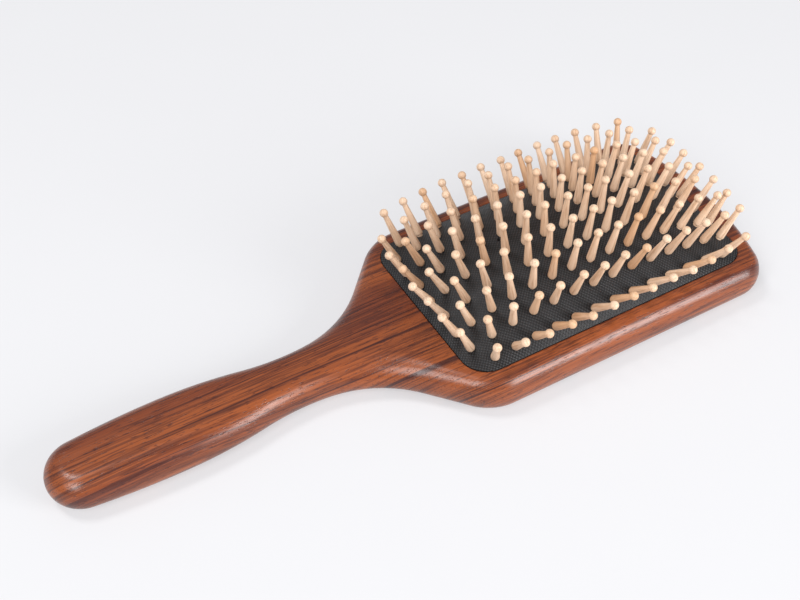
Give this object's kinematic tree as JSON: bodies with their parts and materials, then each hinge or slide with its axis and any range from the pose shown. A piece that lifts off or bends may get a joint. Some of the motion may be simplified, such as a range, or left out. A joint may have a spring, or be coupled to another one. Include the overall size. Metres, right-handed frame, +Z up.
{
  "type": "paddle hairbrush",
  "caption": "Paddle hairbrush: one-piece rounded wooden handle and head, domed rubber air cushion in a groove, and rows of ball-tipped turned wooden pins.",
  "frame": {"origin": "middle of the brush's outline, on the flat back that it lies on", "axes": "+X along the handle towards the paddle's tip, +Z up out of the cushion along the middle pins, +Y across the paddle"},
  "size_m": [0.254, 0.0826, 0.0417],
  "materials": {
    "wood": "lacquered reddish brown hardwood with dark grain along its length, semi-gloss",
    "rubber": "black rubber with a fine embossed weave, matt with a low sheen",
    "pin_wood": "pale turned hardwood, polished smooth"
  },
  "bodies": {
    "paddle": {"wood_body": "wood"},
    "cushion": {"rubber_cushion": "rubber"},
    "pin_row_1": {"pins_row_1_neck": "pin_wood", "pins_row_1_middle": "pin_wood", "pins_row_1_tip": "pin_wood"},
    "pin_row_2": {"pins_row_2_neck": "pin_wood", "pins_row_2_middle": "pin_wood", "pins_row_2_tip": "pin_wood"},
    "pin_row_3": {"pins_row_3_neck": "pin_wood", "pins_row_3_middle": "pin_wood", "pins_row_3_tip": "pin_wood"},
    "pin_row_4": {"pins_row_4_neck": "pin_wood", "pins_row_4_middle": "pin_wood", "pins_row_4_tip": "pin_wood"},
    "pin_row_5": {"pins_row_5_neck": "pin_wood", "pins_row_5_middle": "pin_wood", "pins_row_5_tip": "pin_wood"},
    "pin_row_6": {"pins_row_6_neck": "pin_wood", "pins_row_6_middle": "pin_wood", "pins_row_6_tip": "pin_wood"},
    "pin_row_7": {"pins_row_7_neck": "pin_wood", "pins_row_7_middle": "pin_wood", "pins_row_7_tip": "pin_wood"},
    "pin_row_8": {"pins_row_8_neck": "pin_wood", "pins_row_8_middle": "pin_wood", "pins_row_8_tip": "pin_wood"},
    "pin_row_9": {"pins_row_9_neck": "pin_wood", "pins_row_9_middle": "pin_wood", "pins_row_9_tip": "pin_wood"}
  },
  "joints": [
    {"name": "cushion_press", "type": "slide", "parent": "paddle", "child": "cushion", "axis": [0, 0, -1], "range_m": [0, 0.0025], "stiffness_N_per_m": 3000, "deforming": ["rubber_cushion"]},
    {"name": "pin_row_1_lean", "type": "hinge", "parent": "cushion", "child": "pin_row_1", "pos_m": [0.0603, -0.02984, 0.0162], "axis": [1, 0, 0], "range_deg": [-8, 8], "stiffness_Nm_per_rad": 0.3},
    {"name": "pin_row_2_lean", "type": "hinge", "parent": "cushion", "child": "pin_row_2", "pos_m": [0.0603, -0.02322, 0.019], "axis": [1, 0, 0], "range_deg": [-8, 8], "stiffness_Nm_per_rad": 0.3},
    {"name": "pin_row_3_lean", "type": "hinge", "parent": "cushion", "child": "pin_row_3", "pos_m": [0.0603, -0.01588, 0.0208], "axis": [1, 0, 0], "range_deg": [-8, 8], "stiffness_Nm_per_rad": 0.3},
    {"name": "pin_row_4_lean", "type": "hinge", "parent": "cushion", "child": "pin_row_4", "pos_m": [0.0603, -0.00806, 0.0223], "axis": [1, 0, 0], "range_deg": [-8, 8], "stiffness_Nm_per_rad": 0.3},
    {"name": "pin_row_5_lean", "type": "hinge", "parent": "cushion", "child": "pin_row_5", "pos_m": [0.0603, 0, 0.0225], "axis": [1, 0, 0], "range_deg": [-8, 8], "stiffness_Nm_per_rad": 0.3},
    {"name": "pin_row_6_lean", "type": "hinge", "parent": "cushion", "child": "pin_row_6", "pos_m": [0.0603, 0.00806, 0.0223], "axis": [1, 0, 0], "range_deg": [-8, 8], "stiffness_Nm_per_rad": 0.3},
    {"name": "pin_row_7_lean", "type": "hinge", "parent": "cushion", "child": "pin_row_7", "pos_m": [0.0603, 0.01588, 0.0208], "axis": [1, 0, 0], "range_deg": [-8, 8], "stiffness_Nm_per_rad": 0.3},
    {"name": "pin_row_8_lean", "type": "hinge", "parent": "cushion", "child": "pin_row_8", "pos_m": [0.0603, 0.02322, 0.019], "axis": [1, 0, 0], "range_deg": [-8, 8], "stiffness_Nm_per_rad": 0.3},
    {"name": "pin_row_9_lean", "type": "hinge", "parent": "cushion", "child": "pin_row_9", "pos_m": [0.0603, 0.02984, 0.0162], "axis": [1, 0, 0], "range_deg": [-8, 8], "stiffness_Nm_per_rad": 0.3}
  ]
}
